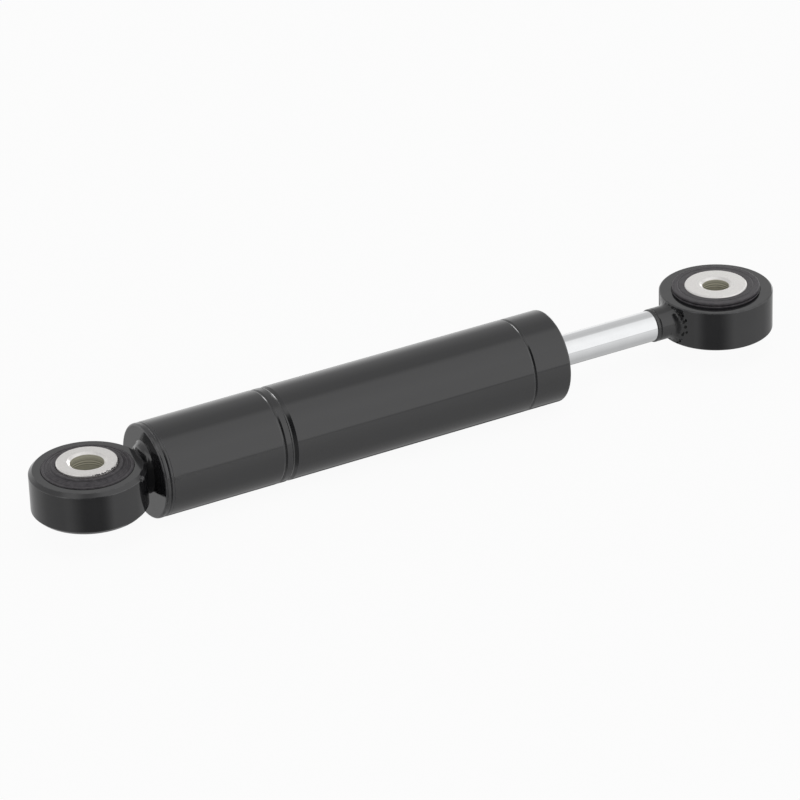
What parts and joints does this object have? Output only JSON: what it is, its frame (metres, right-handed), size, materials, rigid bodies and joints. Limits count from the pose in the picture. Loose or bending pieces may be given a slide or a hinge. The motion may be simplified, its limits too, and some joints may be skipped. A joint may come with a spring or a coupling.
{
  "type": "belt tensioner damper",
  "caption": "Hydraulic damper for a belt tensioner: black tube with rolled grooves, chromed rod, and rubber-bushed eyes at both ends.",
  "frame": {"origin": "centre of the body eye's bore, halfway along its sleeve", "axes": "+X along the damper to the rod eye, +Z along the bores of both eyes"},
  "size_m": [0.2617, 0.0366, 0.03],
  "materials": {
    "black_paint": "semi-gloss black paint",
    "bush_rubber": "matt moulded rubber",
    "zinc_plate": "zinc plated, turned",
    "hard_chrome": "ground and hard chromed",
    "plain_steel": "machined, oiled",
    "spring_steel": "rolled, oiled",
    "sintered_iron": "sintered, machined",
    "aluminium": "turned",
    "bronze": "bronze bearing surface",
    "band_plastic": "filled plastic",
    "seal_rubber": "smooth seal rubber"
  },
  "bodies": {
    "barrel": {"outer_tube": "black_paint", "base_cap": "black_paint", "base_seam_weld": "black_paint", "body_eye_ring": "black_paint", "body_eye_weld": "black_paint", "body_bush_rubber": "bush_rubber", "base_valve_body": "sintered_iron", "base_valve_o_ring": "seal_rubber", "base_valve_stud": "plain_steel", "base_valve_shims": "spring_steel", "base_valve_nut": "plain_steel", "intake_hub": "plain_steel", "intake_spring": "spring_steel", "rod_guide": "sintered_iron", "rod_guide_bush": "bronze", "rod_guide_o_ring": "seal_rubber", "rod_seal": "seal_rubber", "rod_seal_garter_spring": "spring_steel", "seal_support_washer": "plain_steel", "wiper_ring": "seal_rubber"},
    "body_sleeve": {"body_bush_sleeve": "zinc_plate"},
    "float": {"floating_piston": "aluminium", "floating_piston_o_ring": "seal_rubber"},
    "intake": {"intake_plate": "spring_steel"},
    "band": {"piston_band": "band_plastic"},
    "rod": {"piston_rod": "hard_chrome", "piston": "sintered_iron", "rebound_shims": "spring_steel", "compression_shims": "spring_steel", "rebound_backing_washer": "plain_steel", "compression_backing_washer": "plain_steel", "piston_nut": "plain_steel", "rebound_stop": "band_plastic", "rebound_stop_clip": "spring_steel", "rod_eye_neck": "black_paint", "rod_eye_weld": "black_paint", "rod_eye_ring": "black_paint", "rod_bush_rubber": "bush_rubber"},
    "rod_sleeve": {"rod_bush_sleeve": "zinc_plate"}
  },
  "joints": [
    {"name": "rod_travel", "type": "slide", "parent": "barrel", "child": "band", "axis": [1, 0, 0], "range_m": [-0.033, 0.003]},
    {"name": "rod_spin", "type": "hinge", "parent": "band", "child": "rod", "pos_m": [0.12, 0, 0], "axis": [1, 0, 0], "continuous": true},
    {"name": "float_travel", "type": "slide", "parent": "barrel", "child": "float", "axis": [1, 0, 0], "range_m": [-0.005, 0.0005]},
    {"name": "intake_lift", "type": "slide", "parent": "barrel", "child": "intake", "axis": [1, 0, 0], "range_m": [0, 0.0008], "stiffness_N_per_m": 300, "deforming": ["intake_spring"]},
    {"name": "body_eye_twist", "type": "hinge", "parent": "barrel", "child": "body_sleeve", "pos_m": [0, 0, 0], "axis": [0, 0, 1], "range_deg": [-12, 12], "stiffness_Nm_per_rad": 12},
    {"name": "rod_eye_twist", "type": "hinge", "parent": "rod", "child": "rod_sleeve", "pos_m": [0.2253, 0, 0], "axis": [0, 0, 1], "range_deg": [-12, 12], "stiffness_Nm_per_rad": 12}
  ],
  "couplings": [
    {"joint": "float_travel", "follows": "rod_travel", "ratio": 0.14793}
  ]
}
